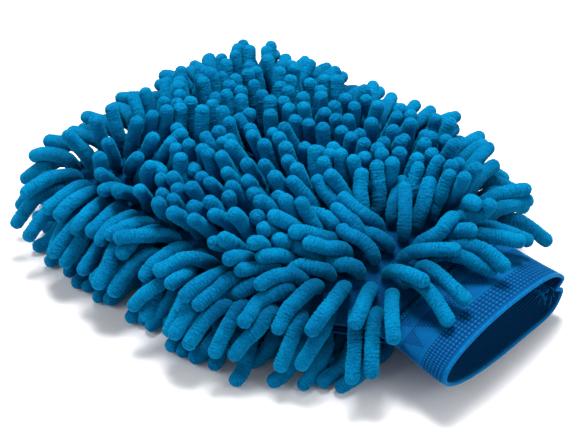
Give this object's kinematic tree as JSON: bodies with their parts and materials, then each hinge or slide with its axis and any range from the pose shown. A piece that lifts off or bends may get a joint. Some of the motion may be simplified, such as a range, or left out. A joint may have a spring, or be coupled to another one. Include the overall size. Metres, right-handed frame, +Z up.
{
  "type": "chenille wash mitt",
  "caption": "Double-sided chenille noodle wash mitt lying flat, with a knitted elastic cuff whose mouth stands open.",
  "frame": {"origin": "middle of the footprint's bounding box, on the surface that the mitt lies on", "axes": "+X along the mitt and out of the cuff's mouth, the finger end at -X, +Y across it, +Z up"},
  "size_m": [0.26, 0.218, 0.0747],
  "materials": {
    "upper_noodles": "plush chenille microfibre",
    "lower_noodles": "plush chenille microfibre",
    "backing": "knitted ground cloth",
    "lining": "smooth woven lining",
    "cuff_knit": "jacquard elastic knit",
    "cuff_inside": "ribbed elastic knit",
    "cuff_edge": "smooth rolled knit edge",
    "thread": "spun polyester thread"
  },
  "bodies": {
    "root": {"upper_backing": "backing", "lower_backing": "backing", "upper_lining": "lining", "lower_lining": "lining", "perimeter_seam": "backing", "perimeter_overlock": "thread", "cuff_band": "cuff_knit", "cuff_edge": "cuff_edge", "cuff_side_seam": "cuff_inside", "cuff_seam_overlock": "thread", "wrist_seam": "thread", "upper_pile_row_01": "upper_noodles", "upper_pile_row_02": "upper_noodles", "upper_pile_row_03": "upper_noodles", "upper_pile_row_04": "upper_noodles", "upper_pile_row_05": "upper_noodles", "upper_pile_row_06": "upper_noodles", "upper_pile_row_07": "upper_noodles", "upper_pile_row_08": "upper_noodles", "upper_pile_row_09": "upper_noodles", "upper_pile_row_10": "upper_noodles", "upper_pile_row_11": "upper_noodles", "upper_pile_row_12": "upper_noodles", "upper_pile_row_13": "upper_noodles", "upper_pile_row_14": "upper_noodles", "upper_pile_row_15": "upper_noodles", "upper_pile_row_16": "upper_noodles", "upper_pile_row_17": "upper_noodles", "upper_pile_row_18": "upper_noodles", "upper_pile_row_19": "upper_noodles", "upper_pile_row_20": "upper_noodles", "upper_pile_row_21": "upper_noodles", "upper_pile_row_22": "upper_noodles", "lower_pile_row_01": "lower_noodles", "lower_pile_row_02": "lower_noodles", "lower_pile_row_03": "lower_noodles", "lower_pile_row_04": "lower_noodles", "lower_pile_row_05": "lower_noodles", "lower_pile_row_06": "lower_noodles", "lower_pile_row_07": "lower_noodles", "lower_pile_row_08": "lower_noodles", "lower_pile_row_09": "lower_noodles", "lower_pile_row_10": "lower_noodles", "lower_pile_row_11": "lower_noodles", "lower_pile_row_12": "lower_noodles", "lower_pile_row_13": "lower_noodles", "lower_pile_row_14": "lower_noodles", "lower_pile_row_15": "lower_noodles", "lower_pile_row_16": "lower_noodles", "lower_pile_row_17": "lower_noodles", "lower_pile_row_18": "lower_noodles", "lower_pile_row_19": "lower_noodles", "lower_pile_row_20": "lower_noodles", "lower_pile_row_21": "lower_noodles", "lower_pile_row_22": "lower_noodles"}
  },
  "joints": []
}
